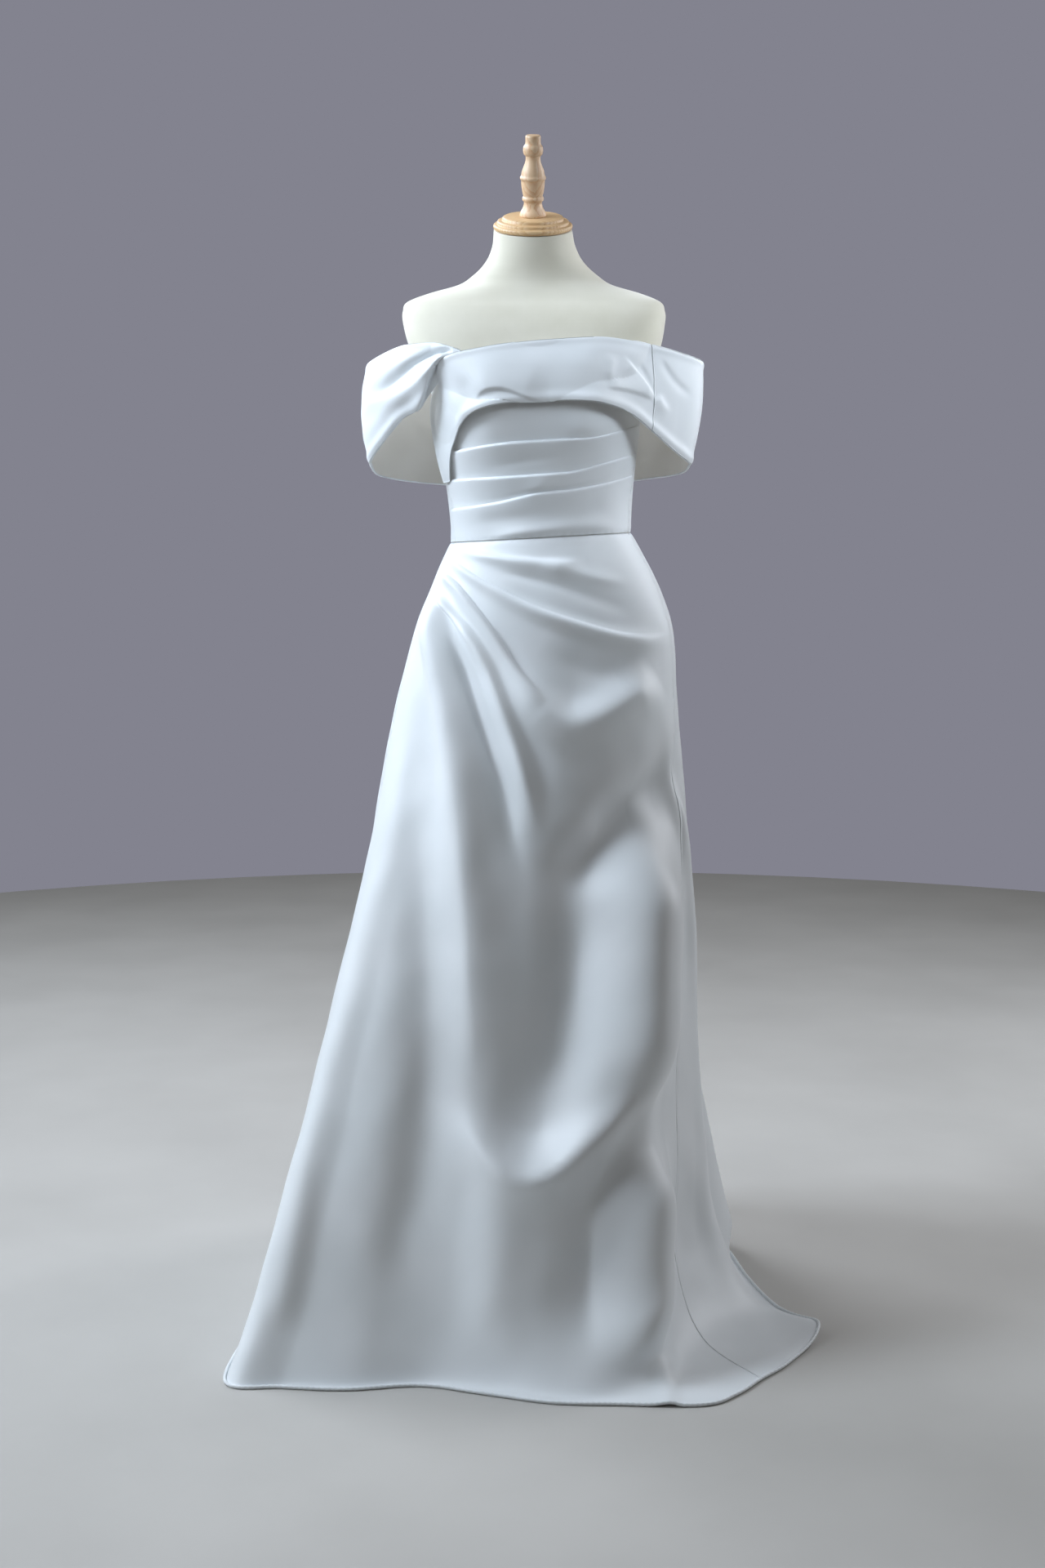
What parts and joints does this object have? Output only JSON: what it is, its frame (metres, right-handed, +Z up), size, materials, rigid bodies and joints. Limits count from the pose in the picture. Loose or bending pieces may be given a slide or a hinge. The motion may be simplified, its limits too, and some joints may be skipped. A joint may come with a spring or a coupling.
{
  "type": "wedding dress on a limbless dress form",
  "caption": "Off-the-shoulder satin gown with a draped band collar, pleats fanning from one hip, a trumpet fall with a small train, worn by a neck-capped dress form on a stand.",
  "frame": {"origin": "middle of the underside of the stand's round base, on the floor", "axes": "+Z up, the dress faces -Y, +X is on the onlooker's right when facing the front"},
  "size_m": [0.8137, 0.9021, 1.6597],
  "materials": {
    "satin": "heavy white duchess satin, soft sheen",
    "jersey": "cream knitted jersey, matt",
    "oak": "oiled, satin",
    "beech": "oiled, satin",
    "stand_metal": "white powder coat",
    "zip_metal": "white lacquer"
  },
  "bodies": {
    "dress_on_form": {"bodice_front": "satin", "bodice_side_left": "satin", "bodice_back_left": "satin", "bodice_back_right": "satin", "collar_front": "satin", "collar_right": "satin", "collar_left": "satin", "skirt_front": "satin", "skirt_back_left": "satin", "skirt_back_right": "satin", "zip_slider": "zip_metal", "form_body": "jersey", "neck_cap": "oak", "neck_finial": "beech", "stand_pole": "stand_metal", "stand_base": "stand_metal"},
    "zip_pull": {"zip_pull": "zip_metal"}
  },
  "joints": [
    {"name": "zip_pull_swing", "type": "hinge", "parent": "dress_on_form", "child": "zip_pull", "pos_m": [0.00545, 0.11776, 1.33265], "axis": [1, 0, 0], "range_deg": [-5, 150]}
  ]
}
